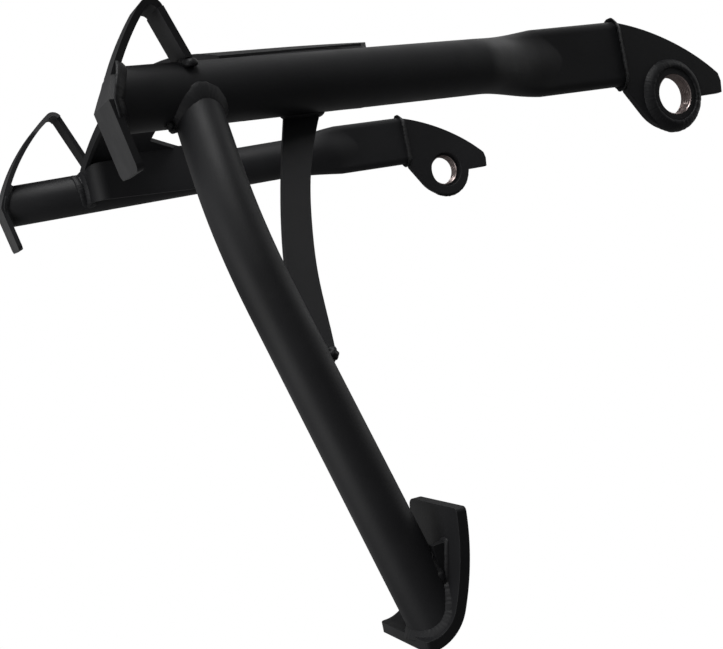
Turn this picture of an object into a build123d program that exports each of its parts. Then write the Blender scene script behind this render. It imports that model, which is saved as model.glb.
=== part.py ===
from build123d import *
import os
from math import atan2, cos, hypot, radians, sin, tan

os.makedirs("parts", exist_ok=True)

# Centre stand of a motorcycle, standing on its feet as it does under the bike.
# Millimetres; +X is the direction of travel, +Y the left side, +Z up.
# The origin is the middle of the pivot axis, which runs along Y.
# The two legs lie in one plane that leans back by LEAN. Profiles are laid out in
# that plane's own axes: "run" forward across the leg and "rise" up along the leg.

LEAN = 11.0                      # degrees the legs lean rearward going up

# Leg tubes
LEG_OD = 32.0
LEG_WALL = 2.5
LEG_RUN = 32.7                   # leg axis ahead of the pivot axis
LEG_TOP_SIDE = 148.2             # half spacing of the leg axes at LEG_TOP_RISE
LEG_TOP_RISE = -54.9
LEG_SPLAY = 0.145                # outward shift per millimetre down the leg
ROUND_END_RISE = -137.0          # the round tube ends here and starts to flatten
FLAT_START_RISE = -98.0
FLAT_END_RISE = -36.0
FLAT_HEIGHT = 41.2               # flattened end, across the leg
FLAT_THICK = 11.0                # two walls with the plate between
FLAT_TOP_RUN = 31.1              # the flattened end draws in a little toward the pivot

# Pivot plates and threaded bushes
PLATE_THICK = 5.0
PLATE_SIDE = 150.3               # middle of the plate thickness
FLAT_BORE_HEIGHT = FLAT_HEIGHT - (FLAT_THICK - PLATE_THICK)
TONGUE_RISE = -62.0              # the plate reaches this far into the flattened tube
TONGUE_PLAY = 1.2                # room beside the tongue, on each side
PLATE_FRONT = [(51.0, -36.0), (44.9, -16.0), (34.8, 6.5), (21.0, 28.5), (9.8, 41.8)]
NOSE_END = [(4.5, 43.1), (-3.2, 42.2)]
EYE_START = (-3.2, 23.0)         # the eye leaves the nose here
EYE_REAR = (-22.2, -0.5)
EYE_END = (-9.0, -25.3)          # its rear edge runs straight to the leg from here
PLATE_REAR = (7.0, -36.0)
BUSH_OD = 36.0
BUSH_BORE = 24.4                 # crest diameter of the M26 x 1.5 thread
BUSH_CHAMFER = 0.8
LEFT_BUSH_SIDES = (145.5, 155.3)   # the left bush sits through its plate
RIGHT_BUSH_SIDES = (152.8, 162.2)  # the right bush sits on the outside of its plate
RIGHT_PLATE_HOLE = 30.0

# Foot strips, bent from flat bar; sole and toe are given on their ground side
STRIP_THICK = 3.4
FOOT_SIDE = 193.7                # middle of the strip
SOLE_WIDTH = 34.0
STRAP_WIDTH = 21.0
SOLE_REAR_RUN = -3.2
KINK = (31.0, -381.3)            # the toe turns up from the flat sole here
TOE_MIDDLE = (62.0, -365.3)
TOE_FAR_POINT = (91.8, -339.2)
TIP_RUN_RIGHT = 97.9
TIP_RUN_LEFT = 74.3
TOE_PLAN_LEFT = [(44.0, 16.0), (66.0, 16.0)]   # run and width along each toe
TOE_PLAN_RIGHT = [(84.0, 34.0)]
STRAP_ANGLE_RIGHT = 22.2
STRAP_ANGLE_LEFT = 19.5
FOLD_INNER_RADIUS = 3.2
BELOW_SOLE = -420.0

# Cross member, folded sheet
SHEET = 3.0
MEMBER_LOW = -314.0              # rise of the foot-side edge
MEMBER_MIDDLE_HIGH = -266.0      # rise of the upper edge between the legs
MEMBER_EAR_HIGH = -222.5         # rise of the upper edge at the legs
MEMBER_HALF = 183.0
MEMBER_TILT = 1.7
ARCH_CROWN = 79.0
ARCH_SPRING = 51.2
EAR_TIP_SIDE = 174.5
EAR_CORNER = 6.0
EAR_HOLLOW = (147.0, -250.6)     # middle of the ear's hollow edge
EAR_START_SIDE = 134.0
CHEEK_SIDE = 156.9               # outer face of the cheek
CHEEK_REAR = 19.0                # run of the rear edge at the top
CHEEK_REAR_LOW = 23.0            # and at the foot side
CHEEK_HIGH = -217.0
CHEEK_CORNER = 9.0
CHEEK_BEND = 14.0
CHEEK_FLOOR_FRONT = 52.0         # the turned-out floor stops short of the web here
CHEEK_WEB_LOW = -286.0           # the flank meets the web above this rise
LIP = 7.0

# Tread lever: run, side and rise of its axis at the leg, the bend and the pedal
LEVER_OD = 25.0
LEVER_WALL = 2.0
LEVER_ROOT = (32.7, 188.7, -334.1)
LEVER_BEND = (-41.5, 232.0, -340.7)
LEVER_END = (-234.0, 285.0, -304.6)
LEVER_BEND_RADIUS = 200.0

# Brace plate, in its own plane: distance from BRACE_START toward the lever, and rise
BRACE_THICK = 4.5
BRACE_START = (16.5, 173.7)      # run and side
BRACE_TOWARD = (-0.8543, 0.5199)
BRACE_LOWER = [(-5.0, -280.0), (26.5, -293.7), (75.9, -312.5), (110.0, -322.0), (138.0, -326.0)]
BRACE_UPPER = [(-5.0, -257.6), (13.7, -269.3), (43.4, -284.5), (72.3, -295.4), (100.2, -303.6),
               (127.0, -309.0), (145.0, -312.8)]

# Pedal, given by the middle of its thickness
PEDAL_SIDE = 276.8
PEDAL_WIDTH = 45.0
PEDAL_THICK = 5.0
TREAD = [(-178.0, -290.9), (-200.0, -293.8), (-221.0, -300.8)]
HOOK_RUN = -231.6
HOOK_BEND_END = -317.5
HOOK_END = -320.0
TREAD_CORNERS = (4.0, 2.0)       # at the inner and the outer side
HOOK_CORNER = 2.0

# Rib under the tread
RIB_SIDE = 286.0
RIB_THICK = 4.0
RIB_OUTLINE = [(-193.5, -292.1), (-222.0, -300.7), (-222.0, -306.0), (-206.0, -301.2),
               (-193.5, -302.3)]


def run_rise(run, rise):
    """X and Z of a point given in the legs' own axes."""
    c, s = cos(radians(LEAN)), sin(radians(LEAN))
    return run * c - rise * s, run * s + rise * c


def at(run, side, rise):
    x, z = run_rise(run, rise)
    return Vector(x, side, z)


def leg_side(rise):
    """Distance of a leg's axis from the middle plane."""
    return LEG_TOP_SIDE + LEG_SPLAY * (LEG_TOP_RISE - rise)


def side_plane(side):
    """Square to the pivot axis: local x is run, local y is rise, normal -Y."""
    return Plane(origin=(0, side, 0), x_dir=at(1, 0, 0), z_dir=(0, -1, 0))


def level_plane(rise):
    """Square to the legs' plane: local x is run, local y is side, normal along rise."""
    return Plane(origin=at(0, 0, rise), x_dir=at(1, 0, 0), z_dir=at(0, 0, 1))


def front_plane(run):
    """Along the legs' plane: local x is side, local y is rise, normal along run."""
    return Plane(origin=at(run, 0, 0), x_dir=(0, 1, 0), z_dir=at(1, 0, 0))


def circle_centre(a, b, c):
    d = 2 * (a[0] * (b[1] - c[1]) + b[0] * (c[1] - a[1]) + c[0] * (a[1] - b[1]))
    qa, qb, qc = (p[0] ** 2 + p[1] ** 2 for p in (a, b, c))
    x = (qa * (b[1] - c[1]) + qb * (c[1] - a[1]) + qc * (a[1] - b[1])) / d
    y = (qa * (c[0] - b[0]) + qb * (a[0] - c[0]) + qc * (b[0] - a[0])) / d
    return x, y


# The leg's full outline as a solid bar, used to cope whatever is welded to it
LEG_FOOT = at(LEG_RUN, leg_side(BELOW_SOLE), BELOW_SOLE)
LEG_HEAD = at(LEG_RUN, leg_side(ROUND_END_RISE), ROUND_END_RISE)
LEG_SECTION = Plane(origin=LEG_HEAD, x_dir=at(1, 0, 0), z_dir=LEG_HEAD - LEG_FOOT)
LEG_LENGTH = (LEG_HEAD - LEG_FOOT).length

with BuildPart() as leg_bar:
    with BuildSketch(LEG_SECTION):
        Circle(LEG_OD / 2)
    extrude(amount=-LEG_LENGTH)

# Middle line of the foot strip. The sole lies level on the ground, and the toe is
# one arc that both feet share, each up to its own tip.
HALF_STRIP = STRIP_THICK / 2
TOE_CENTRE = circle_centre(KINK, TOE_MIDDLE, TOE_FAR_POINT)
TOE_RADIUS = hypot(KINK[0] - TOE_CENTRE[0], KINK[1] - TOE_CENTRE[1])
GROUND_SLOPE = -tan(radians(LEAN))


def toe(run, depth=HALF_STRIP):
    """Point of the toe at this run, moved in from its ground side by depth."""
    radius = TOE_RADIUS - depth
    return run, TOE_CENTRE[1] - (radius ** 2 - (run - TOE_CENTRE[0]) ** 2) ** 0.5


def sole(run, depth=HALF_STRIP):
    """Point of the level sole at this run, moved up from the ground by depth."""
    return run, KINK[1] + GROUND_SLOPE * (run - KINK[0]) + depth / cos(radians(LEAN))


def kink(depth=HALF_STRIP):
    """Where sole and toe meet at this depth, found by halving the interval."""
    low, high = KINK[0] - 5, KINK[0] + 5
    while high - low > 1e-6:
        middle = (low + high) / 2
        if sole(middle, depth)[1] > toe(middle, depth)[1]:
            low = middle
        else:
            high = middle
    return sole(low, depth)


def strip_plan(outline):
    """Plan of a tapering strip, from its widths along the run."""
    with BuildSketch(level_plane(BELOW_SOLE)) as plan:
        with BuildLine():
            near = [(run, FOOT_SIDE - width / 2) for run, width in outline]
            far = [(run, FOOT_SIDE + width / 2) for run, width in reversed(outline)]
            Polyline(*near, *far, close=True)
        make_face()
    return plan.sketch


def foot(tip_run, strap_angle, toe_plan):
    """One left foot in two lengths: sole with toe and fold, then the returning strap."""
    fold_radius = FOLD_INNER_RADIUS + HALF_STRIP
    tip = toe(tip_run)
    to_centre = atan2(TOE_CENTRE[1] - tip[1], TOE_CENTRE[0] - tip[0])
    fold_centre = (tip[0] + fold_radius * cos(to_centre), tip[1] + fold_radius * sin(to_centre))
    start, end = to_centre - radians(180), radians(90 - strap_angle)
    on_fold = [(fold_centre[0] + fold_radius * cos(angle), fold_centre[1] + fold_radius * sin(angle))
               for angle in (start, (start + end) / 2, end)]
    apex_run = fold_centre[0] + fold_radius + HALF_STRIP + 1
    height = 2 * (KINK[1] - BELOW_SOLE) + TIP_RUN_RIGHT
    with BuildPart() as sole_and_toe:
        with BuildSketch(side_plane(FOOT_SIDE + SOLE_WIDTH / 2)):
            with BuildLine():
                Line(sole(SOLE_REAR_RUN), kink())
                ThreePointArc(kink(), toe((kink()[0] + tip_run) / 2), tip)
                ThreePointArc(*on_fold)
            trace(line_width=STRIP_THICK)
        extrude(amount=SOLE_WIDTH)
        taper = strip_plan([(SOLE_REAR_RUN - STRIP_THICK, SOLE_WIDTH), (KINK[0], SOLE_WIDTH),
                            *toe_plan, (apex_run, STRAP_WIDTH)])
        extrude(taper, amount=height, mode=Mode.INTERSECT)
    with BuildPart() as strap:
        reach = (on_fold[2][0] - LEG_RUN) / cos(radians(strap_angle))
        with BuildSketch(side_plane(FOOT_SIDE + STRAP_WIDTH / 2)):
            with BuildLine():
                PolarLine(on_fold[2], reach, 180 - strap_angle)
            trace(line_width=STRIP_THICK)
        extrude(amount=STRAP_WIDTH)
        add(leg_bar.part, mode=Mode.SUBTRACT)
    return sole_and_toe.part, strap.part


FLAT_SECTION = Plane(origin=at(LEG_RUN, PLATE_SIDE, FLAT_START_RISE), x_dir=at(1, 0, 0),
                     z_dir=at(0, 0, 1))
FLAT_REACH = at(FLAT_TOP_RUN - LEG_RUN, 0, FLAT_END_RISE - FLAT_START_RISE)


def half_turn(plane, middle, radius, way):
    """Half circle on the plane, bulging along its x axis the given way (1 or -1)."""
    points = [(middle, -radius), (middle + way * radius, 0), (middle, radius)]
    return ThreePointArc(*(plane.from_local_coords(point) for point in points)).edge()


def pressed(radius, height, thick):
    """Round tube running out flat: half a cone to each end and a flat triangle each side."""
    end, reach = thick / 2, (height - thick) / 2
    round_arcs = [half_turn(LEG_SECTION, 0, radius, way) for way in (1, -1)]
    flat_arcs = [half_turn(FLAT_SECTION, way * reach, end, way) for way in (1, -1)]
    flat_lines = [[FLAT_SECTION.from_local_coords((way * reach, edge)) for way in (1, -1)]
                  for edge in (-end, end)]
    tips = [LEG_SECTION.from_local_coords((0, edge)) for edge in (-radius, radius)]
    cones = [Face.make_surface_from_curves(*arcs) for arcs in zip(round_arcs, flat_arcs)]
    triangles = [Face(Wire.make_polygon([tip, *line])) for tip, line in zip(tips, flat_lines)]
    lines = [Edge.make_line(*line) for line in flat_lines]
    ends = [Face(Wire(round_arcs)), Face(Wire([*flat_arcs, *lines]))]
    return Solid(Shell([*cones, *triangles, *ends]))


# Leg tubes: round, then pressed flat over the pivot plate's tongue
with BuildPart() as left_leg:
    for radius, height, thick, mode in (
            (LEG_OD / 2, FLAT_HEIGHT, FLAT_THICK, Mode.ADD),
            (LEG_OD / 2 - LEG_WALL, FLAT_BORE_HEIGHT, PLATE_THICK, Mode.SUBTRACT)):
        with BuildSketch(LEG_SECTION):
            Circle(radius)
        extrude(amount=-LEG_LENGTH, mode=mode)
        add(pressed(radius, height, thick), mode=mode)
        with BuildSketch(FLAT_SECTION):
            SlotOverall(height, thick)
        extrude(amount=FLAT_REACH.length, dir=FLAT_REACH, mode=mode)
    # Lower end cut to sit on the foot strip
    with BuildSketch(side_plane(FOOT_SIDE + SOLE_WIDTH)):
        with BuildLine():
            behind, ahead = LEG_RUN - LEG_OD, LEG_RUN + LEG_OD
            Line(sole(behind, STRIP_THICK), kink(STRIP_THICK))
            ThreePointArc(kink(STRIP_THICK), toe(LEG_RUN + LEG_OD / 2, STRIP_THICK),
                          toe(ahead, STRIP_THICK))
            Polyline(toe(ahead, STRIP_THICK), (ahead, BELOW_SOLE - 50),
                     (behind, BELOW_SOLE - 50), sole(behind, STRIP_THICK))
        make_face()
    extrude(amount=SOLE_WIDTH * 2, mode=Mode.SUBTRACT)
left_leg.part.label = "left_leg"

with BuildPart() as right_leg:
    mirror(left_leg.part, about=Plane.XZ)
right_leg.part.label = "right_leg"

# Pivot plates: an eye for the bush, a nose ahead of it and a tongue inside the tube
def pivot_plate(hole_diameter):
    """Left pivot plate with this hole."""
    with BuildSketch(side_plane(PLATE_SIDE + PLATE_THICK / 2)) as plate:
        with BuildLine():
            Spline(*PLATE_FRONT)
            Polyline(PLATE_FRONT[-1], *NOSE_END, EYE_START)
            TangentArc(EYE_REAR, EYE_START, tangent=(0, 1))
            TangentArc(EYE_REAR, EYE_END, tangent=(0, -1))
            Polyline(EYE_END, PLATE_REAR, PLATE_FRONT[0])
        make_face()
        with Locations(((FLAT_TOP_RUN + LEG_RUN) / 2, (FLAT_END_RISE + TONGUE_RISE) / 2)):
            Rectangle(FLAT_BORE_HEIGHT - PLATE_THICK - 2 * TONGUE_PLAY,
                      FLAT_END_RISE - TONGUE_RISE)
        Circle(hole_diameter / 2, mode=Mode.SUBTRACT)
    return plate.sketch


with BuildPart() as left_pivot_plate:
    extrude(pivot_plate(BUSH_OD), amount=PLATE_THICK)
left_pivot_plate.part.label = "left_pivot_plate"

with BuildPart() as right_pivot_plate:
    extrude(mirror(pivot_plate(RIGHT_PLATE_HOLE), about=Plane.XZ), amount=PLATE_THICK)
right_pivot_plate.part.label = "right_pivot_plate"


def bush(inner, outer):
    """Turned ring for the left side, chamfered where the bolt enters."""
    with BuildPart() as ring:
        with BuildSketch(side_plane(outer)):
            Circle(BUSH_OD / 2)
            Circle(BUSH_BORE / 2, mode=Mode.SUBTRACT)
        extrude(amount=outer - inner)
        chamfer(ring.faces().sort_by(Axis.Y)[-1].edges(), BUSH_CHAMFER)
    return ring.part


# Bushes, threaded inside
with BuildPart() as left_bush:
    add(bush(*LEFT_BUSH_SIDES))
left_bush.part.label = "left_bush"

with BuildPart() as right_bush:
    mirror(bush(*RIGHT_BUSH_SIDES), about=Plane.XZ)
right_bush.part.label = "right_bush"

# Feet: the right loop is longer than the left one
with BuildPart() as left_foot:
    for length in foot(TIP_RUN_LEFT, STRAP_ANGLE_LEFT, TOE_PLAN_LEFT):
        add(length)
left_foot.part.label = "left_foot"

with BuildPart() as right_foot:
    for length in foot(TIP_RUN_RIGHT, STRAP_ANGLE_RIGHT, TOE_PLAN_RIGHT):
        mirror(length, about=Plane.XZ)
right_foot.part.label = "right_foot"

# Cross member: arched front web, lip and two cheeks, folded from one sheet
ARCH_RISE = ARCH_CROWN - ARCH_SPRING
ARCH_RADIUS = (MEMBER_HALF ** 2 + ARCH_RISE ** 2) / (2 * ARCH_RISE)
MEMBER_LEAN = at(-sin(radians(MEMBER_TILT)), 0, cos(radians(MEMBER_TILT)))
MEMBER_REACH = (MEMBER_EAR_HIGH - MEMBER_LOW) / cos(radians(MEMBER_TILT))


def arch(depth):
    """Three points of the web's plan, moved back from its front face by depth."""
    radius, crown = ARCH_RADIUS - depth, ARCH_CROWN - depth
    spring = crown - radius + (radius ** 2 - MEMBER_HALF ** 2) ** 0.5
    return [(spring, -MEMBER_HALF), (crown, 0), (spring, MEMBER_HALF)]


def arch_plan(front_depth, rear_depth):
    """Plan of the sheet between two depths behind the web's front face."""
    front, rear = arch(front_depth), arch(rear_depth)
    with BuildSketch(level_plane(MEMBER_LOW)) as plan:
        with BuildLine():
            ThreePointArc(*front)
            ThreePointArc(*rear)
            Line(front[0], rear[0])
            Line(front[2], rear[2])
        make_face()
    return plan.sketch


with BuildPart() as cheek:
    middle_side = CHEEK_SIDE - SHEET / 2
    middle_floor = MEMBER_LOW + SHEET / 2
    middle_bend = CHEEK_BEND - SHEET / 2
    with BuildSketch(front_plane(CHEEK_REAR)):
        with BuildLine():
            flank = Line((middle_side, CHEEK_HIGH), (middle_side, middle_floor + middle_bend))
            bend = JernArc(flank @ 1, flank % 1, middle_bend, 90)
            Line(bend @ 1, (leg_side(MEMBER_LOW), middle_floor))
        trace(line_width=SHEET)
    extrude(amount=CHEEK_FLOOR_FRONT - CHEEK_REAR)
    # Its rear edge runs slightly forward toward the foot
    with BuildSketch(side_plane(CHEEK_SIDE)):
        with BuildLine():
            Polyline((CHEEK_REAR, CHEEK_HIGH), (CHEEK_REAR_LOW, MEMBER_LOW), (0, MEMBER_LOW),
                     (0, CHEEK_HIGH), close=True)
        make_face()
    extrude(amount=LEG_OD, both=True, mode=Mode.SUBTRACT)
    # The flank's upper part goes on to the front web
    with BuildSketch(front_plane(CHEEK_REAR_LOW)):
        with BuildLine():
            Line((middle_side, CHEEK_HIGH), (middle_side, CHEEK_WEB_LOW))
        trace(line_width=SHEET)
    extrude(amount=ARCH_CROWN)
    behind_web = arch_plan(SHEET / 2, ARCH_CROWN)
    extrude(behind_web, amount=2 * MEMBER_REACH, dir=MEMBER_LEAN, mode=Mode.INTERSECT)
    rear_corner = at(CHEEK_REAR, CHEEK_SIDE, CHEEK_HIGH)
    fillet(cheek.edges().filter_by(Axis.Y).sort_by_distance(rear_corner)[0], CHEEK_CORNER)

with BuildPart() as cross_member:
    extrude(arch_plan(0, SHEET), amount=MEMBER_REACH, dir=MEMBER_LEAN)
    # Seen from the front, the web has a hollow-edged ear at each leg
    with BuildSketch(front_plane(0)):
        with BuildLine():
            ear = (EAR_TIP_SIDE - EAR_CORNER, MEMBER_EAR_HIGH)
            Polyline((0, MEMBER_MIDDLE_HIGH), (0, MEMBER_LOW), (MEMBER_HALF, MEMBER_LOW),
                     (EAR_TIP_SIDE, MEMBER_EAR_HIGH - EAR_CORNER), ear)
            ThreePointArc(ear, EAR_HOLLOW, (EAR_START_SIDE, MEMBER_MIDDLE_HIGH))
            Line((EAR_START_SIDE, MEMBER_MIDDLE_HIGH), (0, MEMBER_MIDDLE_HIGH))
        make_face()
        mirror(about=Plane.YZ)
    extrude(amount=ARCH_CROWN * 2, mode=Mode.INTERSECT)
    # Lip turned back along the foot-side edge
    extrude(arch_plan(0, LIP), amount=SHEET)
    add(cheek.part)
    mirror(cheek.part, about=Plane.XZ)
    add(leg_bar.part, mode=Mode.SUBTRACT)
    mirror(leg_bar.part, about=Plane.XZ, mode=Mode.SUBTRACT)
cross_member.part.label = "cross_member"

# Pedal: flat bar with a crowned tread and a turned-down end
with BuildPart() as pedal:
    with BuildSketch(side_plane(PEDAL_SIDE + PEDAL_WIDTH / 2)):
        with BuildLine():
            tread = ThreePointArc(*TREAD)
            turn = TangentArc(tread @ 1, (HOOK_RUN, HOOK_BEND_END), tangent=tread % 1)
            Line(turn @ 1, (HOOK_RUN, HOOK_END))
        trace(line_width=PEDAL_THICK)
    extrude(amount=PEDAL_WIDTH)
    tread_front = pedal.faces().sort_by(Axis.X)[-1]
    inner, outer = tread_front.edges().filter_by(Axis.Y, reverse=True).sort_by(Axis.Y)
    fillet(inner, TREAD_CORNERS[0])
    fillet(outer, TREAD_CORNERS[1])
    hook_end = pedal.faces().sort_by(Axis.Z)[0]
    fillet(hook_end.edges().filter_by(Axis.Y, reverse=True), HOOK_CORNER)
pedal.part.label = "pedal"

# Everything beyond the pedal's middle line, used to end the lever and the rib under it
with BuildPart() as beyond_pedal:
    with BuildSketch(side_plane(PEDAL_SIDE + PEDAL_WIDTH)):
        with BuildLine():
            tread = ThreePointArc(*TREAD)
            turn = TangentArc(tread @ 1, (HOOK_RUN, HOOK_BEND_END), tangent=tread % 1)
            clear = 2 * LEVER_OD
            Polyline(turn @ 1, (HOOK_RUN, HOOK_END - clear), (HOOK_RUN - clear, HOOK_END - clear),
                     (HOOK_RUN - clear, TREAD[0][1] + clear), (TREAD[0][0], TREAD[0][1] + clear),
                     TREAD[0])
        make_face()
    extrude(amount=PEDAL_WIDTH * 2)
    add(pedal.part)

# Tread lever: a bent tube coped onto the left leg and under the pedal
with BuildLine() as lever_line:
    FilletPolyline(*(at(*point) for point in (LEVER_ROOT, LEVER_BEND, LEVER_END)),
                   radius=LEVER_BEND_RADIUS)


def lever(radius):
    """Round bar along the lever's axis: straight, bent, straight."""
    with BuildPart() as bar:
        for length in lever_line.edges():
            with BuildSketch(Plane(origin=length @ 0, z_dir=length % 0)) as section:
                Circle(radius)
            sweep(section.sketch, path=length)
    return bar.part


with BuildPart() as lever_bar:
    add(lever(LEVER_OD / 2))

with BuildPart() as lever_tube:
    add(lever_bar.part)
    add(lever(LEVER_OD / 2 - LEVER_WALL), mode=Mode.SUBTRACT)
    add(leg_bar.part, mode=Mode.SUBTRACT)
    add(beyond_pedal.part, mode=Mode.SUBTRACT)
lever_tube.part.label = "lever_tube"

# Rib between the lever and the underside of the tread
with BuildPart() as pedal_rib:
    with BuildSketch(side_plane(RIB_SIDE + RIB_THICK / 2)):
        with BuildLine():
            Polyline(*RIB_OUTLINE, close=True)
        make_face()
    extrude(amount=RIB_THICK)
    add(beyond_pedal.part, mode=Mode.SUBTRACT)
    add(lever_bar.part, mode=Mode.SUBTRACT)
pedal_rib.part.label = "pedal_rib"

# Brace plate standing between the left leg and the lever
brace_toward = at(BRACE_TOWARD[0], BRACE_TOWARD[1], 0)
BRACE_PLANE = Plane(origin=at(*BRACE_START, 0), x_dir=brace_toward,
                    z_dir=brace_toward.cross(at(0, 0, 1)))

with BuildPart() as brace_plate:
    with BuildSketch(BRACE_PLANE):
        with BuildLine():
            Spline(*BRACE_LOWER)
            Line(BRACE_LOWER[-1], BRACE_UPPER[-1])
            Spline(*BRACE_UPPER)
            Line(BRACE_UPPER[0], BRACE_LOWER[0])
        make_face()
    extrude(amount=BRACE_THICK / 2, both=True)
    add(leg_bar.part, mode=Mode.SUBTRACT)
    add(lever_bar.part, mode=Mode.SUBTRACT)
brace_plate.part.label = "brace_plate"

for piece in (left_leg, right_leg, left_pivot_plate, right_pivot_plate, left_bush, right_bush,
              left_foot, right_foot, cross_member, lever_tube, brace_plate, pedal, pedal_rib):
    export_step(piece.part, f"parts/{piece.part.label}.step")
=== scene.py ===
from math import cos, pi, radians, sin, tan

import bmesh
import bpy
from mathutils import Matrix, Vector, noise
from mathutils.bvhtree import BVHTree


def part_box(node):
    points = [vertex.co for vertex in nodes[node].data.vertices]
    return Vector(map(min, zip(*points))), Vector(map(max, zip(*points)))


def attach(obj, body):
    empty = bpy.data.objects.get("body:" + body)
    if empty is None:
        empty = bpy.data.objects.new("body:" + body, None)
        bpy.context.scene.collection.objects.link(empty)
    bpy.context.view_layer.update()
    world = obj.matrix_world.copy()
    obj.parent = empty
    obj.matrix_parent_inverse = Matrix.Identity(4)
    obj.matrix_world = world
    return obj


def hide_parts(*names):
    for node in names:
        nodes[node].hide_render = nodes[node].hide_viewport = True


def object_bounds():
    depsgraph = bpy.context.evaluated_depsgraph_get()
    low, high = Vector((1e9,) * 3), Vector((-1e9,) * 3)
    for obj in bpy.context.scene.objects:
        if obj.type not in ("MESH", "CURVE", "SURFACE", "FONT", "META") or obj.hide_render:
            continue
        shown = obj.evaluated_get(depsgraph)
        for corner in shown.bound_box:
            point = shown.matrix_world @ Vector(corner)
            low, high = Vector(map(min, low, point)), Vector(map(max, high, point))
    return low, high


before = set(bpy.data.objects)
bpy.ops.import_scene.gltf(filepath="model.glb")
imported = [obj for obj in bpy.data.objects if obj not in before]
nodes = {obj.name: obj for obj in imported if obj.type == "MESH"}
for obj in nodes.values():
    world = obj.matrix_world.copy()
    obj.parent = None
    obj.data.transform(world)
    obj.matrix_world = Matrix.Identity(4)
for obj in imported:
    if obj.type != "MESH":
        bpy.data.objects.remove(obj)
cad_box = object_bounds()

# Sizes below are in millimetres in the legs' own axes: run forward across the leg,
# side to the left, rise up along the leg. Blender works in metres in the row frame.
MM = 0.001
LEAN = radians(11.0)
PLATE_SIDE = 150.3
PLATE_THICK = 5.0
FLAT_END_RISE = -36.0


def at(run, side, rise):
    """Point in metres in the row frame, from the legs' own axes in millimetres."""
    x = run * cos(LEAN) - rise * sin(LEAN)
    z = run * sin(LEAN) + rise * cos(LEAN)
    return Vector((x, side, z)) * MM


def own_axes(point):
    """Run, side and rise of a point in the row frame, in millimetres."""
    x, y, z = point / MM
    return x * cos(LEAN) + z * sin(LEAN), y, z * cos(LEAN) - x * sin(LEAN)


def limited(value):
    """The value kept between 0 and 1."""
    return min(max(value, 0.0), 1.0)


# Materials

PAINT_DARK = (0.0075, 0.0076, 0.0086)
PAINT_LIGHT = (0.0115, 0.0117, 0.0132)
PAINT_ROUGHNESS = (0.48, 0.57)
PAINT_GLOSS = 0.3
PEEL_DEPTH = 0.04 * MM
FINE_PEEL_SHARE = 0.35
STEEL_ROUGHNESS = (0.26, 0.42)
STEEL_MARK_DEPTH = 0.01 * MM

# Each noise's scale and detail, and the range that most of its values lie in
PAINT_CLOUDS = (22.0, 3.0)
PAINT_SHEEN = (60.0, 4.0)
COARSE_PEEL = (620.0, 2.0)
FINE_PEEL = (2600.0, 2.0)
STEEL_STAIN = (180.0, 4.0)
STEEL_SCRATCHES = (900.0, 3.0)
NOISE_LOW, NOISE_HIGH = 0.3, 0.7


def material(name):
    """New node material, its tree and its shader."""
    made = bpy.data.materials.new(name)
    made.use_nodes = True
    return made, made.node_tree, made.node_tree.nodes["Principled BSDF"]


def add(tree, kind, values=None, links=None, **settings):
    """New node with these settings and input values, fed from these outputs."""
    made = tree.nodes.new(kind)
    for setting, value in settings.items():
        setattr(made, setting, value)
    for socket, value in (values or {}).items():
        made.inputs[socket].default_value = value
    for socket, source in (links or {}).items():
        tree.links.new(source, made.inputs[socket])
    return made


def noise_of(tree, coordinates, scale, detail):
    """Noise fixed to the object, at this scale."""
    texture = add(tree, "ShaderNodeTexNoise", {"Scale": scale, "Detail": detail},
                  {"Vector": coordinates.outputs["Object"]})
    return texture.outputs["Fac"]


def ranged(tree, source, low, high):
    """The middle part of a noise spread over low to high."""
    spread = add(tree, "ShaderNodeMapRange",
                 {"From Min": NOISE_LOW, "From Max": NOISE_HIGH, "To Min": low, "To Max": high},
                 {"Value": source})
    return spread.outputs["Result"]


def surface(tree, shader, colours, mottle, gloss, roughness, grain, depth):
    """Uneven colour, uneven gloss and a fine bump on a shader."""
    dark, light = colours
    colour = add(tree, "ShaderNodeMix", {"A": (*dark, 1.0), "B": (*light, 1.0)},
                 {"Factor": ranged(tree, mottle, 0.0, 1.0)}, data_type="RGBA")
    tree.links.new(colour.outputs["Result"], shader.inputs["Base Color"])
    tree.links.new(ranged(tree, gloss, *roughness), shader.inputs["Roughness"])
    bump = add(tree, "ShaderNodeBump", {"Distance": depth}, {"Height": grain})
    tree.links.new(bump.outputs["Normal"], shader.inputs["Normal"])


def powder_coat(name, dark, light):
    """Satin black powder coat: even colour, orange peel and slightly uneven gloss."""
    made, tree, shader = material(name)
    coordinates = add(tree, "ShaderNodeTexCoord")
    clouds = noise_of(tree, coordinates, *PAINT_CLOUDS)
    sheen = noise_of(tree, coordinates, *PAINT_SHEEN)
    coarse = noise_of(tree, coordinates, *COARSE_PEEL)
    fine = noise_of(tree, coordinates, *FINE_PEEL)
    grain = add(tree, "ShaderNodeMath", {1: FINE_PEEL_SHARE}, {0: fine, 2: coarse},
                operation="MULTIPLY_ADD")
    surface(tree, shader, (dark, light), clouds, sheen, PAINT_ROUGHNESS,
            grain.outputs["Value"], PEEL_DEPTH)
    shader.inputs["Specular IOR Level"].default_value = PAINT_GLOSS
    return made


def cut_steel(name, dark, light):
    """Bare turned steel, warm grey with a brown tint and fine tool marks."""
    made, tree, shader = material(name)
    coordinates = add(tree, "ShaderNodeTexCoord")
    stain = noise_of(tree, coordinates, *STEEL_STAIN)
    scratches = noise_of(tree, coordinates, *STEEL_SCRATCHES)
    surface(tree, shader, (dark, light), stain, scratches, STEEL_ROUGHNESS,
            scratches, STEEL_MARK_DEPTH)
    shader.inputs["Metallic"].default_value = 1.0
    return made


PAINT = powder_coat("frame_paint", PAINT_DARK, PAINT_LIGHT)
STEEL = cut_steel("thread_steel", (0.38, 0.31, 0.3), (0.6, 0.51, 0.49))
# Darker steel for the thread's roots: painted shade in the grooves
STEEL_ROOT_SHADE = cut_steel("thread_root_painted_shade", (0.12, 0.095, 0.09), (0.2, 0.165, 0.155))

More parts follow.
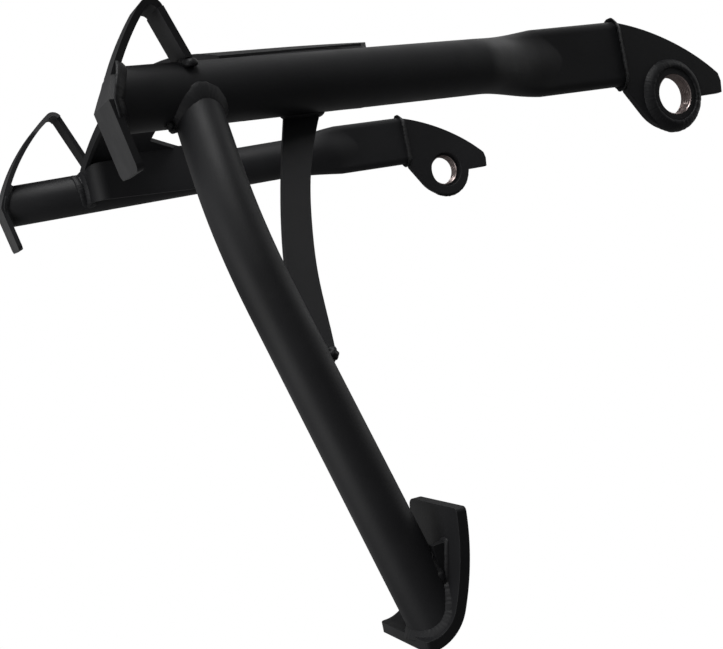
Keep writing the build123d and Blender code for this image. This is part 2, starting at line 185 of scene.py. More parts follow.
# Nodes that no piece replaces show in the same paint
for solid in nodes.values():
    solid.data.materials.clear()
    solid.data.materials.append(PAINT)


# Meshes

SAME_CORNER = 0.002 * MM


def welded_mesh(node):
    """The node's mesh with its split corners joined again."""
    made = bmesh.new()
    made.from_mesh(nodes[node].data)
    bmesh.ops.remove_doubles(made, verts=made.verts, dist=SAME_CORNER)
    return made


def place(name, made):
    """Turns a bmesh into a painted piece of the scene that rides on the part."""
    mesh = bpy.data.meshes.new(name)
    for face in made.faces:
        face.smooth = True
    made.to_mesh(mesh)
    made.free()
    piece = bpy.data.objects.new(name, mesh)
    bpy.context.scene.collection.objects.link(piece)
    mesh.materials.append(PAINT)
    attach(piece, "root")
    return piece


def round_edges(made, edges, radius, segments):
    """Rounds these edges."""
    bmesh.ops.bevel(made, geom=edges, offset=radius * MM, offset_type="OFFSET",
                    segments=segments, profile=0.5, affect="EDGES", clamp_overlap=True)


def skin(made, rings, closed):
    """Joins each ring of corners to the next with faces, and returns them row by row."""
    onward = rings[1:] + rings[:1] if closed else rings[1:]
    rows = []
    for one, two in zip(rings, onward):
        corners = zip(one, one[1:] + one[:1], two[1:] + two[:1], two)
        rows.append([made.faces.new(four) for four in corners])
    bmesh.ops.recalc_face_normals(made, faces=made.faces)
    return rows


# Softened edges on the pressed and cut pieces

STRAP_END_RUN = 47.6
STRAP_ABOVE_RISE = -362.0
STRAP_ANGLES = {"left_foot": 19.5, "right_foot": 22.2}
SOLE_REAR_RUN = -3.2
SOLE_REAR_DEPTH = 1.5
SOLE_CORNER = 4.0
SOLE_CORNER_STEPS = 6
SAME_SIDE = 0.1
EDGE_STEPS = 3
FLAT_ANGLE = radians(0.4)
EDGE_ANGLE = radians(32)
CORNER_ANGLE = radians(60)

# Rise of each strap's cut end, found when its foot is softened
strap_ends = {}


def square_strap(made, foot):
    """Ends the strap in a straight cut against the tube, and notes where the cut is."""
    slope = tan(radians(STRAP_ANGLES[foot]))
    rises = []
    for corner in made.verts:
        run, side, rise = own_axes(corner.co)
        if run < STRAP_END_RUN and rise > STRAP_ABOVE_RISE:
            rise -= slope * (STRAP_END_RUN - run)
            corner.co = at(STRAP_END_RUN, side, rise)
            rises.append(rise)
    strap_ends[foot] = (min(rises) + max(rises)) / 2


def sole_corners(made):
    """The two upright edges at the rear of the sole."""
    corners = []
    for edge in made.edges:
        ends = [own_axes(corner.co) for corner in edge.verts]
        rear = all(run < SOLE_REAR_RUN + SOLE_REAR_DEPTH for run, _, _ in ends)
        upright = abs(ends[0][1] - ends[1][1]) < SAME_SIDE
        if rear and upright and len(edge.link_faces) == 2:
            if edge.calc_face_angle(0.0) > CORNER_ANGLE:
                corners.append(edge)
    return corners


def soften(node, radius):
    """Stands for a node whose cut edges are rounded by the coating."""
    made = welded_mesh(node)
    bmesh.ops.dissolve_limit(made, angle_limit=FLAT_ANGLE, verts=made.verts, edges=made.edges)
    if node in STRAP_ANGLES:
        square_strap(made, node)
        round_edges(made, sole_corners(made), SOLE_CORNER, SOLE_CORNER_STEPS)
    sharp = [edge for edge in made.edges
             if len(edge.link_faces) == 2 and edge.calc_face_angle(0.0) > EDGE_ANGLE]
    round_edges(made, sharp, radius, EDGE_STEPS)
    piece = place(node + "_coated", made)
    even = piece.modifiers.new("even_normals", "WEIGHTED_NORMAL")
    even.mode = "FACE_AREA"
    even.keep_sharp = True
    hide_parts(node)


for node, radius in (("left_foot", 0.6), ("right_foot", 0.6), ("left_pivot_plate", 0.6),
                     ("right_pivot_plate", 0.6), ("cross_member", 0.5), ("brace_plate", 0.6),
                     ("pedal", 0.8), ("pedal_rib", 0.5)):
    soften(node, radius)


# Leg tubes: round, then pressed flat with a round-nosed ramp on each side

LEG_RADIUS = 16.0
LEG_WALL = 2.5
LEG_RUN = 32.7
FLAT_TOP_RUN = 31.1
LEG_TOP_SIDE = 148.2
LEG_TOP_RISE = -54.9
LEG_SPLAY = 0.145
FLAT_HEIGHT = 41.2
FLAT_THICK = 11.0
FLAT_WALLS = 2.4
PRESS_START = -150.0
PRESS_END_CROWN = -84.0
PRESS_END_EDGE = -101.0
AROUND = 128
ROUND_ROWS = 12
RISE_STEP = 1.0
LEG_CAST_FROM = -362.0
LEG_CAST_TO = -400.0
LEG_SHARP = radians(50)

# Line in which each leg's outer surface stands on its foot, found when the leg is made
sole_lines = {}


def leg_axis(rise):
    """Run and side of the tube's middle at this rise."""
    splayed = LEG_TOP_SIDE + LEG_SPLAY * (LEG_TOP_RISE - rise)
    share = limited((rise - PRESS_START) / (FLAT_END_RISE - PRESS_START))
    inward = limited((rise - PRESS_START) / (PRESS_END_EDGE - PRESS_START))
    side = splayed + (PLATE_SIDE - splayed) * inward * inward * (3 - 2 * inward)
    run = LEG_RUN + (FLAT_TOP_RUN - LEG_RUN) * share
    return run, side


def slot_point(angle, height, thick):
    """Point on a round-ended slot, reached at the same share of the way round."""
    end = thick / 2
    reach = (height - thick) / 2
    half_way = pi * end / 2 + reach
    quarter = angle % (pi / 2) / (pi / 2)
    turns = int(angle // (pi / 2)) % 4
    walked = quarter * half_way if turns % 2 == 0 else (1 - quarter) * half_way
    if walked < pi * end / 2:
        bend = walked / end
        x, y = reach + end * cos(bend), end * sin(bend)
    else:
        x, y = half_way - walked, end
    return (x if turns in (0, 3) else -x), (y if turns in (0, 1) else -y)


def leg_point(angle, rise, inset, sign):
    """Point of the leg's surface, or of its bore when inset by the wall."""
    crown = abs(sin(angle))
    end = PRESS_END_EDGE + (PRESS_END_CROWN - PRESS_END_EDGE) * crown ** 2
    share = limited((rise - PRESS_START) / (end - PRESS_START))
    pressed = share * share * (2 - share)
    radius = LEG_RADIUS - inset
    flat_x, flat_y = slot_point(angle, FLAT_HEIGHT - 2 * inset, FLAT_THICK - FLAT_WALLS * inset)
    x = radius * cos(angle) + (flat_x - radius * cos(angle)) * pressed
    y = radius * sin(angle) + (flat_y - radius * sin(angle)) * pressed
    run, side = leg_axis(rise)
    return at(run + x, sign * (side + y), rise)


def leg_end(strip, middle_y, angle, inset, sign):
    """Point where the tube's surface at this angle comes down on the foot strip."""
    above = leg_point(angle, LEG_CAST_FROM, inset, sign)
    onward = (leg_point(angle, LEG_CAST_TO, inset, sign) - above).normalized()
    over_strip = Vector((above.x, middle_y, above.z))
    downward = Vector((onward.x, 0, onward.z)).normalized()
    return above + onward * strip.ray_cast(over_strip, downward)[3]


def leg(name, node, foot, sign):
    """Leg tube whose lower end stands on the foot strip."""
    foot_mesh = welded_mesh(foot)
    strip = BVHTree.FromBMesh(foot_mesh)
    foot_mesh.free()
    foot_low, foot_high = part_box(foot)
    middle_y = (foot_low.y + foot_high.y) / 2
    angles = [2 * pi * step / AROUND for step in range(AROUND)]
    rises = [LEG_CAST_FROM + (PRESS_START - LEG_CAST_FROM) * part / ROUND_ROWS
             for part in range(ROUND_ROWS)]
    count = round((FLAT_END_RISE - PRESS_START) / RISE_STEP)
    rises += [PRESS_START + (FLAT_END_RISE - PRESS_START) * part / count
              for part in range(count + 1)]
    made = bmesh.new()
    shells = []
    for inset in (0.0, LEG_WALL):
        low = [leg_end(strip, middle_y, angle, inset, sign) for angle in angles]
        sole_lines.setdefault(foot, low)
        shell = [[made.verts.new(spot) for spot in low]]
        for rise in rises:
            shell.append([made.verts.new(leg_point(angle, rise, inset, sign))
                          for angle in angles])
        shells.append(shell)
    outer, bore = shells
    skin(made, outer + bore[::-1], closed=True)
    piece = place(name, made)
    piece.data.set_sharp_from_angle(angle=LEG_SHARP)
    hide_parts(node)


leg("left_leg_tube", "left_leg", "left_foot", 1)
leg("right_leg_tube", "right_leg", "right_foot", -1)


# Weld beads

SEAM_REACH = 0.35 * MM
SEAM_ANGLE = radians(20)
LEAST_SEAM = 8.0 * MM
BEAD_STEP = 0.45 * MM
BEAD_SIDES = 14
BEAD_ROUNDING = 4
RIPPLE = 1.9 * MM
RIPPLE_DEPTH = 0.045
RIPPLE_BOW = 1.4
UNEVEN_LENGTH = 0.012
SIDE_WANDER = 0.5
OTHER_NOISE = Vector((7.3, 2.1, 4.9))
END_SHARE = 0.35
NO_LENGTH = 1e-9
SEED_PER_LETTER = 0.37


def length_of(points):
    """Length of a line of points."""
    return sum((b - a).length for a, b in zip(points, points[1:]))


def edge_links(mesh, tree):
    """Cut edges of a mesh that lie on another: each corner's neighbours and ways out."""
    near = {}
    for corner in mesh.verts:
        spot, normal, _, _ = tree.find_nearest(corner.co, SEAM_REACH)
        if spot is not None:
            near[corner] = normal
    links = {}
    for edge in mesh.edges:
        first, last = edge.verts
        if first not in near or last not in near or len(edge.link_faces) != 2:
            continue
        if edge.calc_face_angle(0.0) < SEAM_ANGLE:
            continue
        free = max(edge.link_faces, key=lambda face: face.normal.dot(near[first]))
        out = (free.normal + near[first]).normalized()
        links.setdefault(first, []).append((last, out))
        links.setdefault(last, []).append((first, out))
    return links


def seams(a, b):
    """Lines where node a's cut edge meets node b, longest first: points and ways out."""
    mesh = welded_mesh(a)
    other = welded_mesh(b)
    links = edge_links(mesh, BVHTree.FromBMesh(other))
    lines = []
    left = set(links)
    while left:
        start = min(left, key=lambda corner: (len(links[corner]) != 1, corner.index))
        line, ways = [start], [links[start][0][1]]
        left.discard(start)
        here = start
        while True:
            onward = [(corner, out) for corner, out in links[here] if corner in left]
            if not onward:
                break
            here, out = onward[0]
            left.discard(here)
            line.append(here)
            ways.append(out)
        closed = len(line) > 2 and any(corner is start for corner, _ in links[here])
        points = [corner.co.copy() for corner in line]
        if closed:
            points.append(points[0].copy())
            ways.append(ways[0].copy())
        lines.append((points, ways, closed))
    mesh.free()
    other.free()
    lines.sort(key=lambda line: -length_of(line[0]))
    return lines


def even_steps(points, ways):
    """The line and its ways out at even steps along it."""
    total = length_of(points)
    count = round(total / BEAD_STEP)
    out_points, out_ways = [], []
    walked, index = 0.0, 0
    for number in range(count + 1):
        target = total * number / count
        while index < len(points) - 2:
            span = (points[index + 1] - points[index]).length
            if walked + span >= target:
                break
            walked += span
            index += 1
        span = max((points[index + 1] - points[index]).length, NO_LENGTH)
        share = limited((target - walked) / span)
        out_points.append(points[index].lerp(points[index + 1], share))
        out_ways.append(ways[index].lerp(ways[index + 1], share).normalized())
    return out_points, out_ways


def neighbours(values, index, closed):
    """Values before and after this one along an open or closed line."""
    last = len(values) - 1
    if not closed:
        return values[max(index - 1, 0)], values[min(index + 1, last)]
    if index % last:
        return values[(index - 1) % last], values[(index + 1) % last]
    return values[last - 1], values[1]


def smoothed(values, closed, turns):
    """Averages neighbours, which rounds the corners of a line."""
    for _ in range(turns):
        made = []
        for index, value in enumerate(values):
            before, after = neighbours(values, index, closed)
            made.append((before + value * 2 + after) / 4)
        values = made
    return values


def bead(name, points, ways, closed, width, height, seed, lift=0.0, wander=0.12):
    """Weld bead along a line, with its crescent ripples and an uneven width.

    Width is half across, height is above the lift, and wander is the uneven share.
    """
    points, ways = even_steps(points, ways)
    points = smoothed(points, closed, BEAD_ROUNDING)
    ways = [way.normalized() for way in smoothed(ways, closed, 3 * BEAD_ROUNDING)]
    last = len(points) - 1
    total = length_of(points)
    ripples = round(total / RIPPLE)
    made = bmesh.new()
    rings = []
    walked = 0.0
    for index in range(last if closed else last + 1):
        here, out = points[index], ways[index]
        before, after = neighbours(points, index, closed)
        along = (after - before).normalized()
        out = (out - along * out.dot(along)).normalized()
        across = along.cross(out)
        turn = 2 * pi * ripples * walked / total
        around = 2 * pi * walked / total
        spot = Vector((cos(around), sin(around), 0)) * total / UNEVEN_LENGTH
        spot += Vector((0, 0, seed))
        uneven = 1 + wander * noise.noise(spot)
        side_step = wander * SIDE_WANDER * width * noise.noise(spot + OTHER_NOISE)
        end = 1.0
        if not closed:
            distance = min(walked, total - walked) / (width * MM)
            end = END_SHARE + (1 - END_SHARE) * min(distance, 1.0)
        ring = []
        for number in range(BEAD_SIDES):
            angle = 2 * pi * number / BEAD_SIDES
            crown = max(cos(angle), 0.0)
            wave = RIPPLE_DEPTH * crown * cos(turn + RIPPLE_BOW * crown)
            x = sin(angle) * width * uneven * end + side_step
            y = (cos(angle) * height * uneven + lift) * end + wave
            ring.append(made.verts.new(here + (across * x + out * y) * MM))
        rings.append(ring)
        if index < last:
            walked += (points[index + 1] - here).length
    if not closed:
        made.faces.new(list(reversed(rings[0])))
        made.faces.new(rings[-1])
    skin(made, rings, closed)
    place(name, made)


def weld(name, a, b, width, height, count=1, **more):
    """Beads along the lines where two nodes meet."""
    number = 0
    for points, ways, closed in seams(a, b)[:count]:
        if length_of(points) < LEAST_SEAM:
            continue
        number += 1
        label = name if number == 1 else f"{name}_{number}"
        seed = sum(map(ord, name)) * SEED_PER_LETTER + number
        bead(label, points, ways, closed, width, height, seed, **more)


weld("lever_root_weld", "lever_tube", "left_leg", 5.2, 1.1, lift=0.6, wander=0.12)
weld("brace_leg_weld", "brace_plate", "left_leg", 2.6, 1.2, lift=0.7, wander=0.2)
weld("brace_lever_weld", "brace_plate", "lever_tube", 2.3, 1.1, lift=0.6, wander=0.2)
weld("left_member_weld", "cross_member", "left_leg", 2.8, 0.8, lift=0.2, count=2, wander=0.06)
weld("right_member_weld", "cross_member", "right_leg", 4.2, 1.3, lift=0.7, count=2, wander=0.2)
weld("pedal_weld", "lever_tube", "pedal", 3.2, 1.0, lift=0.7, wander=0.12)
weld("rib_lever_weld", "pedal_rib", "lever_tube", 1.8, 0.9, lift=0.5)
weld("rib_pedal_weld", "pedal_rib", "pedal", 1.6, 0.9, lift=0.5)


DROP_SUBDIVISIONS = 4
BROAD_SWELL, BROAD_SCALE = 0.28, 1.6
FINE_SWELL, FINE_SCALE = 0.16, 3.6


def drop(name, centre, radius, seed):
    """Uneven drop of weld metal."""
    made = bmesh.new()
    bmesh.ops.create_icosphere(made, subdivisions=DROP_SUBDIVISIONS, radius=radius * MM)
    for corner in made.verts:
        way = corner.co.normalized()
        swell = 1 + BROAD_SWELL * noise.noise(way * BROAD_SCALE + Vector((seed, 0, 0)))
        swell += FINE_SWELL * noise.noise(way * FINE_SCALE + Vector((0, seed, 0)))
        corner.co = centre + corner.co * swell
    place(name, made)


# The lever's root bead ends in a heap of drops on its rear lower side. Each drop has
# its run, side and rise from there, its radius and its seed.
HEAP_SLANT = 0.9
ROOT_DROPS = ((-0.6, 1.4, -1.2, 3.0, 1.3), (-1.6, 2.8, 1.8, 2.4, 5.0),
              (0.4, 3.4, -3.6, 2.2, 8.7), (1.4, 0.8, -4.8, 1.9, 12.4))


def rear_and_low(spot):
    """Smallest at the rear lower end of a line."""
    run, _, rise = own_axes(spot)
    return run + HEAP_SLANT * rise


heap = min(seams("lever_tube", "left_leg")[0][0], key=rear_and_low)
for number, (run, side, rise, radius, seed) in enumerate(ROOT_DROPS, 1):
    drop(f"lever_root_drop_{number}", heap + at(run, side, rise), radius, seed)

# The brace's bead ends on the lever in two more drops: offset in the row frame, radius
# and seed
BRACE_DROPS = (((0.4, 0.4, 1.2), 3.2, 21.3), ((0.4, -3.0, 2.0), 2.4, 27.1))
brace_end = max(seams("brace_plate", "lever_tube")[0][0], key=lambda spot: spot.y)
for number, (offset, radius, seed) in enumerate(BRACE_DROPS, 1):
    drop(f"brace_end_drop_{number}", brace_end + Vector(offset) * MM, radius, seed)


PASS_STEPS = 40


def second_pass(name, sign, low, high, first, last):
    """Short bead across the inner side of a leg, under the cross member's cheek.

    Low and high are its ends' rises, first and last their angles round the tube.
    """
    points, ways = [], []
    for part in range(PASS_STEPS + 1):
        rise = low + (high - low) * part / PASS_STEPS
        axis_run, axis_side = leg_axis(rise)
        angle = radians(first + (last - first) * part / PASS_STEPS)
        out = at(cos(angle), -sign * sin(angle), 0).normalized()
        points.append(at(axis_run, sign * axis_side, rise) + out * LEG_RADIUS * MM)
        ways.append(out)
    bead(name, points, ways, False, width=2.6, height=0.9, seed=14.2, lift=0.2, wander=0.18)


second_pass("right_member_second_weld", -1, -321.5, -317.0, 16, 138)


STRAP_SIDE = 193.7
STRAP_HALF_WIDTH = 9.6
STRAP_HALF_THICK = 1.7
STRAP_WELD_STEPS = 80
STRAP_WELD_REACH = 13.0
STRAP_WELD_CLOSING = 0.35
STRAP_WELD_SQUARE_ALONG = 1.25
STRAP_WELD_SQUARE_ABOVE = 2.5
STRAP_WELD_TURN = 0.6


def sole_weld(name, foot, sign):
    """Bead round the tube's lower end, where it stands on the strip."""
    points = [spot.copy() for spot in sole_lines[foot]]
    points.append(points[0].copy())
    ways = []
    for step in range(AROUND + 1):
        angle = 2 * pi * step / AROUND
        outward = at(cos(angle), sign * sin(angle), 0).normalized()
        ways.append((outward + at(0, 0, 1).normalized()).normalized())
    bead(name, points, ways, True, width=3.6, height=1.3, seed=sign * 5.7, lift=0.9,
         wander=0.08)


def strap_weld(name, foot, sign):
    """Bead round the strap's cut end, filling the gap to the round tube."""
    slope = tan(radians(STRAP_ANGLES[foot]))
    tube_side = leg_axis(strap_ends[foot])[1]
    points, ways = [], []
    for part in range(STRAP_WELD_STEPS + 1):
        angle = 2 * pi * part / STRAP_WELD_STEPS
        along = max(-1.0, min(1.0, STRAP_WELD_SQUARE_ALONG * cos(angle)))
        above = max(-1.0, min(1.0, STRAP_WELD_SQUARE_ABOVE * sin(angle)))
        side = STRAP_SIDE + STRAP_HALF_WIDTH * along
        off_axis = min(abs(side - tube_side), STRAP_WELD_REACH)
        gap = LEG_RADIUS - (LEG_RADIUS ** 2 - off_axis ** 2) ** 0.5
        run = STRAP_END_RUN - STRAP_WELD_CLOSING * gap
        rise = strap_ends[foot] + slope * (STRAP_END_RUN - run) + STRAP_HALF_THICK * above
        points.append(at(run, sign * side, rise))
        out = at(STRAP_WELD_TURN, sign * along * STRAP_WELD_TURN, above)
        ways.append(out.normalized())
    bead(name, points, ways, True, width=2.2, height=1.5, seed=sign * 8.3, lift=0.2,
         wander=0.35)


for side_name, sign in (("left", 1), ("right", -1)):
    sole_weld(side_name + "_sole_weld", side_name + "_foot", sign)
    strap_weld(side_name + "_strap_weld", side_name + "_foot", sign)


RING_STEPS = 96
PLATE_OUTER = PLATE_SIDE + PLATE_THICK / 2
PLATE_INNER = PLATE_SIDE - PLATE_THICK / 2


def spoke(angle):
    """Way out from the pivot axis at this angle."""
    return at(cos(angle), 0, sin(angle)).normalized()


def bush_weld(name, side, facing, radius, width, height):
    """Ring of weld on a plate round its bush; facing is the plate's free side."""
    points, ways = [], []
    for number in range(RING_STEPS + 1):
        way = spoke(2 * pi * number / RING_STEPS)
        points.append(way * radius * MM + Vector((0, side * MM, 0)))
        ways.append((way + Vector((0, facing, 0))).normalized())
    seed = facing * abs(side)
    bead(name, points, ways, True, width, height, seed, lift=0.4, wander=0.07)


bush_weld("left_bush_weld", PLATE_OUTER, 1, 20.3, 4.6, 2.2)
bush_weld("left_bush_inner_weld", PLATE_INNER, -1, 19.2, 2.2, 1.3)
bush_weld("right_bush_weld", -PLATE_OUTER, -1, 20.3, 4.6, 2.2)


TUBE_END_HALF_RUN = 15.6
TUBE_END_HALF_SIDE = PLATE_THICK / 2 + 1.3
TUBE_END_ABOVE = 1.4
TUBE_END_STEPS = 24
TUBE_END_TURN = 0.7
TUBE_END_UPWARD = 0.9


def plate_weld(name, sign):
    """Bead round the end of the flattened tube, where it closes on the plate."""
    outline = []
    for start in (-pi / 2, pi / 2):
        centre = TUBE_END_HALF_RUN if start < 0 else -TUBE_END_HALF_RUN
        for number in range(TUBE_END_STEPS + 1):
            angle = start + pi * number / TUBE_END_STEPS
            outline.append((centre + cos(angle) * TUBE_END_HALF_SIDE,
                            sin(angle) * TUBE_END_HALF_SIDE))
    outline.append(outline[0])
    points, ways = [], []
    for run, side in outline:
        points.append(at(FLAT_TOP_RUN + run, sign * (PLATE_SIDE + side),
                         FLAT_END_RISE + TUBE_END_ABOVE))
        out = at(TUBE_END_TURN * run / TUBE_END_HALF_RUN, sign * side / TUBE_END_HALF_SIDE,
                 TUBE_END_UPWARD)
        ways.append(out.normalized())
    bead(name, points, ways, True, width=5.6, height=0.8, seed=sign * 3.1, wander=0.14)


plate_weld("left_plate_weld", 1)
plate_weld("right_plate_weld", -1)


# Threaded bushes: the CAD's plain bore becomes the thread it stands for

PITCH = 1.5
CREST_RADIUS = 12.2
THREAD_DEPTH = 0.92
THREAD_MOUTH = 1.0
GROOVE_TOP = 0.9
GROOVE_SLOPE = 0.65
ROOT_SHARE = 0.7
BUSH_RADIUS = 18.0
BUSH_CHAMFER = 0.8
BORE_CHAMFER = 1.3
TURN_STEPS = 180
STEPS_PER_PITCH = 10
BUSH_SHARP = radians(40)


def groove(turn, side):
    """Depth of the thread at this share of a turn and this side."""
    ramp = abs((side / PITCH - turn) % 1.0 - 0.5) * 2
    return THREAD_DEPTH * limited((GROOVE_TOP - ramp) / GROOVE_SLOPE)


def threaded_bush(name, node, inner, outer, facing):
    """Turned ring with a cut internal thread; inner and outer are its sides."""
    made = bmesh.new()
    turns = [step / TURN_STEPS for step in range(TURN_STEPS)]

    def ring(side, radii):
        centre = Vector((0, facing * side * MM, 0))
        return [made.verts.new(spoke(2 * pi * turn) * radius * MM + centre)
                for turn, radius in zip(turns, radii)]

    rows = round((outer - inner) / PITCH * STEPS_PER_PITCH)
    sides = [inner + (outer - inner) * row / rows for row in range(rows + 1)]
    rings = []
    for side in sides:
        mouth = max(0.0, THREAD_MOUTH - (outer - side), THREAD_MOUTH - (side - inner))
        rings.append(ring(side, [CREST_RADIUS + max(groove(turn, side), mouth)
                                 for turn in turns]))
    for side, radius in ((outer, CREST_RADIUS + BORE_CHAMFER),
                         (outer, BUSH_RADIUS - BUSH_CHAMFER),
                         (outer - BUSH_CHAMFER, BUSH_RADIUS),
                         (inner + BUSH_CHAMFER, BUSH_RADIUS),
                         (inner, BUSH_RADIUS - BUSH_CHAMFER),
                         (inner, CREST_RADIUS + BORE_CHAMFER)):
        rings.append(ring(side, [radius] * TURN_STEPS))
    faces = skin(made, rings, closed=True)
    for side, row in zip(sides[:-1], faces):
        for turn, face in zip(turns, row):
            # Faces deep in the groove take the darker steel, which is painted shade in the
            # thread's roots
            in_root = groove(turn, side) > ROOT_SHARE * THREAD_DEPTH
            face.material_index = 2 if in_root else 1
    piece = place(name, made)
    piece.data.materials.append(STEEL)
    piece.data.materials.append(STEEL_ROOT_SHADE)
    piece.data.set_sharp_from_angle(angle=BUSH_SHARP)
    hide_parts(node)


threaded_bush("left_threaded_bush", "left_bush", 145.5, 155.3, 1)
threaded_bush("right_threaded_bush", "right_bush", 152.8, 162.2, -1)


# Camera, as the photograph was taken

CAMERA_PLACE = Vector((0.03432, 0.72118, -0.51746))
CAMERA_RIGHT = Vector((-0.36626, 0.42079, 0.82993))
CAMERA_UP = Vector((0.92072, 0.03483, 0.38867))
CAMERA_AHEAD = Vector((-0.13464, -0.90649, 0.40019))
LENS = 55.54
SENSOR_WIDTH = 36.0
NEAREST_SEEN = 0.01

camera_data = bpy.data.cameras.new("camera")
camera_data.lens = LENS
camera_data.sensor_width = SENSOR_WIDTH
camera_data.sensor_fit = "HORIZONTAL"
camera_data.clip_start = NEAREST_SEEN
camera = bpy.data.objects.new("camera", camera_data)
axes = Matrix((CAMERA_RIGHT, CAMERA_UP, -CAMERA_AHEAD)).transposed()
camera.matrix_world = Matrix.Translation(CAMERA_PLACE) @ axes.to_4x4()
bpy.context.scene.collection.objects.link(camera)
bpy.context.scene.camera = camera


# Lamps: soft boxes round the object, each aimed at its middle

middle = (Vector(cad_box[0]) + Vector(cad_box[1])) / 2


def soft_box(name, place_at, size, power):
    """Rectangular lamp."""
    lamp = bpy.data.lights.new(name, "AREA")
    lamp.shape = "RECTANGLE"
    lamp.size, lamp.size_y = size
    lamp.energy = power
    box = bpy.data.objects.new(name, lamp)
    box.location = place_at
    box.rotation_euler = (middle - place_at).to_track_quat("-Z", "Y").to_euler()
    bpy.context.scene.collection.objects.link(box)


soft_box("key", middle + CAMERA_UP * 1.2 - CAMERA_AHEAD * 0.38 - CAMERA_RIGHT * 0.4,
         (1.2, 0.7), 14.0)
soft_box("left", middle - CAMERA_RIGHT * 0.75 - CAMERA_UP * 0.2 - CAMERA_AHEAD * 0.65,
         (0.4, 0.4), 3.2)
soft_box("back", middle + CAMERA_AHEAD * 0.9 + CAMERA_UP * 1.1 + CAMERA_RIGHT * 0.4,
         (1.0, 1.0), 2.6)
soft_box("top", middle + Vector((0.2, 0.1, 1.3)), (1.4, 1.4), 4.0)


# White surroundings: the camera sees them white, and gloss sees them dimmer, brightest
# toward one side as in a studio

BOARD_TOWARD = Vector((-0.6, -0.75, 0.3)).normalized()
BOARD_EDGE = 0.3
BOARD = 0.22
SHADE = 0.065
SOFT_FILL = 0.12
WHITE = (1.0, 1.0, 1.0, 1.0)


def largest(tree, first, *others):
    """Largest of several values."""
    for other in others:
        first = add(tree, "ShaderNodeMath", {}, {0: first, 1: other},
                    operation="MAXIMUM").outputs["Value"]
    return first


def chosen(tree, share, before, after):
    """One shader where the share is 0 and the other where it is 1."""
    return add(tree, "ShaderNodeMixShader", {},
               {"Fac": share, 1: before.outputs[0], 2: after.outputs[0]})


world = bpy.data.worlds.new("surroundings")
world.use_nodes = True
bpy.context.scene.world = world
sky = world.node_tree
sky.nodes.clear()
path = add(sky, "ShaderNodeLightPath").outputs
direction = add(sky, "ShaderNodeTexCoord")
toward = add(sky, "ShaderNodeVectorMath", {1: BOARD_TOWARD},
             {0: direction.outputs["Generated"]}, operation="DOT_PRODUCT")
board = add(sky, "ShaderNodeMapRange",
            {"From Min": BOARD_EDGE, "From Max": 1.0, "To Min": SHADE, "To Max": BOARD},
            {"Value": toward.outputs["Value"]}, interpolation_type="SMOOTHSTEP")
bright = add(sky, "ShaderNodeBackground", {"Color": WHITE},
             {"Strength": largest(sky, path["Is Camera Ray"], board.outputs["Result"])})
gentle = add(sky, "ShaderNodeBackground", {"Color": WHITE, "Strength": SOFT_FILL})
seen = largest(sky, path["Is Camera Ray"], path["Is Glossy Ray"], path["Is Transmission Ray"])
add(sky, "ShaderNodeOutputWorld", {}, {"Surface": chosen(sky, seen, gentle, bright).outputs[0]})


# Floor: pale to the camera, with the shadow, and running out into plain white. Gloss
# sees it glowing, brightest under the feet: a painted reflection for the soles. It is
# open from below, where the camera stands, and to lamps that stand lower than it.

SOLE_RUN, SOLE_RISE = 31.0, -381.3
GROUND = (SOLE_RUN * sin(LEAN) + SOLE_RISE * cos(LEAN)) * MM
FLOOR_DROP = 0.3 * MM
FLOOR_RADIUS = 3.0
FLOOR_CORNERS = 96
FLOOR_COLOUR = (0.86, 0.86, 0.86, 1.0)
FLOOR_ROUGHNESS = 0.9
FLOOR_GLOSS = 0.1
FLOOR_LIFT = 0.62
FADE_START, FADE_END = 0.5, 1.5
FOOT_PLACE = Vector((0.108, 0.193, -GROUND))
FOOT_NEAR, FOOT_FAR = 0.05, 0.13
GLOSS_NEAR, GLOSS_FAR = 0.42, 0.12

floor_mesh = bpy.data.meshes.new("floor")
floor_made = bmesh.new()
bmesh.ops.create_circle(floor_made, cap_ends=True, segments=FLOOR_CORNERS, radius=FLOOR_RADIUS,
                        matrix=Matrix.Translation((0, 0, GROUND - FLOOR_DROP)))
floor_made.to_mesh(floor_mesh)
floor_made.free()
floor = bpy.data.objects.new("floor", floor_mesh)
bpy.context.scene.collection.objects.link(floor)

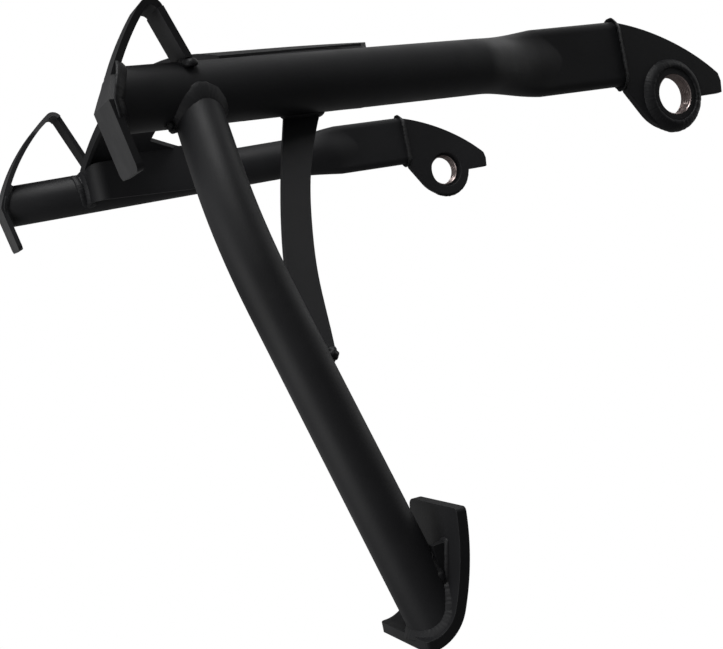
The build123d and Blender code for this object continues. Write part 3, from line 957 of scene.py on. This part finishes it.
floor_paint, tree, matt = material("floor_paint")
matt.inputs["Base Color"].default_value = FLOOR_COLOUR
matt.inputs["Roughness"].default_value = FLOOR_ROUGHNESS
matt.inputs["Specular IOR Level"].default_value = FLOOR_GLOSS
geometry = add(tree, "ShaderNodeNewGeometry")
clear = add(tree, "ShaderNodeBsdfTransparent")
path = add(tree, "ShaderNodeLightPath").outputs
on_floor = add(tree, "ShaderNodeTexCoord").outputs["Object"]

# One foot's place stands for both, because the distance is taken on folded coordinates
folded = add(tree, "ShaderNodeVectorMath", {}, {0: on_floor}, operation="ABSOLUTE")
from_foot = add(tree, "ShaderNodeVectorMath", {1: FOOT_PLACE},
                {0: folded.outputs["Vector"]}, operation="DISTANCE")
under_foot = add(tree, "ShaderNodeMapRange",
                 {"From Min": FOOT_NEAR, "From Max": FOOT_FAR,
                  "To Min": GLOSS_NEAR, "To Max": GLOSS_FAR},
                 {"Value": from_foot.outputs["Value"]}, interpolation_type="SMOOTHSTEP")
# Painted reflection: to gloss the floor glows, most under the feet, so the soles' ground faces
# show a bright reflection that no lamp makes
painted_reflection_glow = add(tree, "ShaderNodeEmission", {}, {"Strength": under_foot.outputs["Result"]})
mirrored = largest(tree, path["Is Glossy Ray"], path["Is Transmission Ray"])

lift_white = add(tree, "ShaderNodeEmission", {"Strength": FLOOR_LIFT})
lifted = add(tree, "ShaderNodeAddShader", {},
             {0: matt.outputs["BSDF"], 1: lift_white.outputs["Emission"]})
plain_white = add(tree, "ShaderNodeEmission")
out_from_middle = add(tree, "ShaderNodeVectorMath", {}, {0: on_floor}, operation="LENGTH")
fade = add(tree, "ShaderNodeMapRange", {"From Min": FADE_START, "From Max": FADE_END},
           {"Value": out_from_middle.outputs["Value"]}, interpolation_type="SMOOTHSTEP")
viewed = chosen(tree, fade.outputs["Result"], lifted, plain_white)
lit_or_viewed = chosen(tree, path["Is Camera Ray"], matt, viewed)
pale = chosen(tree, mirrored, lit_or_viewed, painted_reflection_glow)
open_way = largest(tree, geometry.outputs["Backfacing"], path["Is Shadow Ray"])
one_sided = chosen(tree, open_way, pale, clear)
tree.links.new(one_sided.outputs["Shader"], tree.nodes["Material Output"].inputs["Surface"])
floor_mesh.materials.append(floor_paint)

bpy.context.scene.view_settings.view_transform = "Standard"
